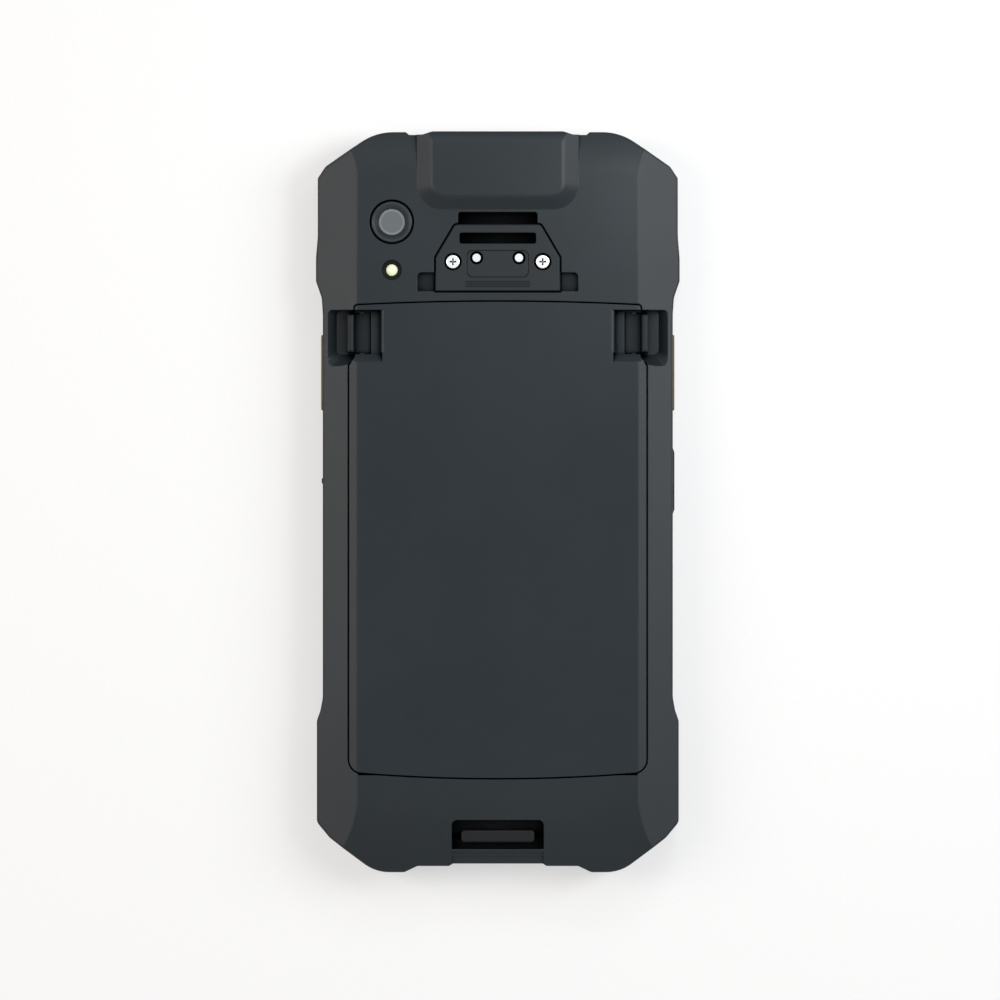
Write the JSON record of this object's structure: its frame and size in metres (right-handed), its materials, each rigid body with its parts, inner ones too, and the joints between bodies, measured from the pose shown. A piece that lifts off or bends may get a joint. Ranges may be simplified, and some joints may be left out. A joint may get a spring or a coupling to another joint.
{
  "type": "portable barcode data terminal",
  "caption": "Rugged hand-held barcode data terminal with a scanner bulge, rear camera, side keys, strap fittings and a hooked, latched battery pack that tilts out of its back",
  "frame": {"origin": "under the middle of the device, on the plane its display lip rests on", "axes": "+Z out of the back, +Y towards the scanner end, +X to the right seen from the back"},
  "size_m": [0.0788, 0.1602, 0.017],
  "materials": {
    "front_shell": "fine moulded texture, charcoal",
    "rear_shell": "fine moulded texture, dark slate grey",
    "cover_shell": "fine moulded texture, dark slate grey",
    "tub_black": "smooth moulded black",
    "latch_black": "fine moulded texture, black",
    "plate_black": "satin black",
    "insert_black": "smooth black insert",
    "bar_black": "satin black",
    "ring_black": "polished black cone",
    "key_amber": "semi-gloss dark mustard",
    "key_black": "satin black",
    "module_black": "smooth black module body",
    "board": "green solder mask",
    "display": "dark display face",
    "adhesive": "black foam tape",
    "seal": "black silicone",
    "cover_glass": "tempered glass with black print on its back",
    "scan_pane": "red-tinted clear pane",
    "camera_pane": "coated lens cover",
    "lens_glass": "coated lens",
    "flash_clear": "clear dome over a pale yellow lamp",
    "lamp_yellow": "lamp phosphor",
    "chassis": "cast and machined, plain",
    "can_steel": "thin plated sheet",
    "bracket_steel": "plain sheet",
    "socket_steel": "nickel-plated shell",
    "motor_steel": "plain can",
    "mesh_steel": "fine dark mesh",
    "screw_steel": "black-zinc plated",
    "screw_bright": "bright nickel plate",
    "spring_steel": "spring wire",
    "contact_gold": "gold plate",
    "contact_bright": "bright contact plate",
    "cell_foil": "laminate pouch, plain"
  },
  "bodies": {
    "device": {"front_housing": "front_shell", "rear_housing": "rear_shell", "housing_seal": "seal", "mid_frame": "chassis", "housing_screws": "screw_steel", "touch_glass": "cover_glass", "receiver_mesh": "mesh_steel", "receiver": "module_black", "glass_adhesive": "adhesive", "display_panel": "display", "front_camera": "module_black", "main_board": "board", "shield_cans": "can_steel", "battery_connector": "module_black", "connector_springs": "contact_gold", "scan_bracket": "bracket_steel", "scan_engine": "module_black", "scan_lens": "lens_glass", "scan_window": "scan_pane", "usb_port": "socket_steel", "dock_contacts": "contact_gold", "speaker": "module_black", "vibration_motor": "motor_steel", "key_switches": "module_black", "camera_ring": "ring_black", "camera_window": "camera_pane", "camera_module": "module_black", "flash_lens": "flash_clear", "flash_lamp": "lamp_yellow", "strap_plate": "plate_black", "plate_screws": "screw_bright", "contact_insert": "insert_black", "contact_pins": "contact_bright", "tether_bar": "bar_black"},
    "battery": {"battery_cover": "cover_shell", "battery_tub": "tub_black", "battery_cell": "cell_foil", "battery_board": "board", "battery_pads": "contact_gold", "latch_spring_left": "spring_steel", "latch_spring_right": "spring_steel"},
    "latch_left": {"latch_left": "latch_black"},
    "latch_right": {"latch_right": "latch_black"},
    "scan_button_left": {"scan_button_left": "key_amber"},
    "scan_button_right": {"scan_button_right": "key_amber"},
    "talk_button": {"talk_button": "key_black"},
    "volume_rocker": {"volume_rocker": "key_black"},
    "power_button": {"power_button": "key_black"}
  },
  "joints": [
    {"name": "battery_tilt", "type": "hinge", "parent": "device", "child": "battery", "pos_m": [0, -0.05975, 0.015], "axis": [1, 0, 0], "range_deg": [0, 35]},
    {"name": "latch_left_slide", "type": "slide", "parent": "battery", "child": "latch_left", "axis": [1, 0, 0], "range_m": [0, 0.0009], "stiffness_N_per_m": 800, "deforming": ["latch_spring_left"]},
    {"name": "latch_right_slide", "type": "slide", "parent": "battery", "child": "latch_right", "axis": [-1, 0, 0], "range_m": [0, 0.0009], "stiffness_N_per_m": 800, "deforming": ["latch_spring_right"]},
    {"name": "scan_left_press", "type": "slide", "parent": "device", "child": "scan_button_left", "axis": [1, 0, 0], "range_m": [0, 0.00035], "stiffness_N_per_m": 4000},
    {"name": "scan_right_press", "type": "slide", "parent": "device", "child": "scan_button_right", "axis": [-1, 0, 0], "range_m": [0, 0.00035], "stiffness_N_per_m": 4000},
    {"name": "talk_press", "type": "slide", "parent": "device", "child": "talk_button", "axis": [-1, 0, 0], "range_m": [0, 0.00035], "stiffness_N_per_m": 4000},
    {"name": "power_press", "type": "slide", "parent": "device", "child": "power_button", "axis": [0, -1, 0], "range_m": [0, 0.0003], "stiffness_N_per_m": 5000},
    {"name": "volume_rock", "type": "hinge", "parent": "device", "child": "volume_rocker", "pos_m": [-0.0357, 0.00465, 0.0062], "axis": [0, 0, 1], "range_deg": [-1.2, 1.2], "stiffness_Nm_per_rad": 0.2}
  ]
}
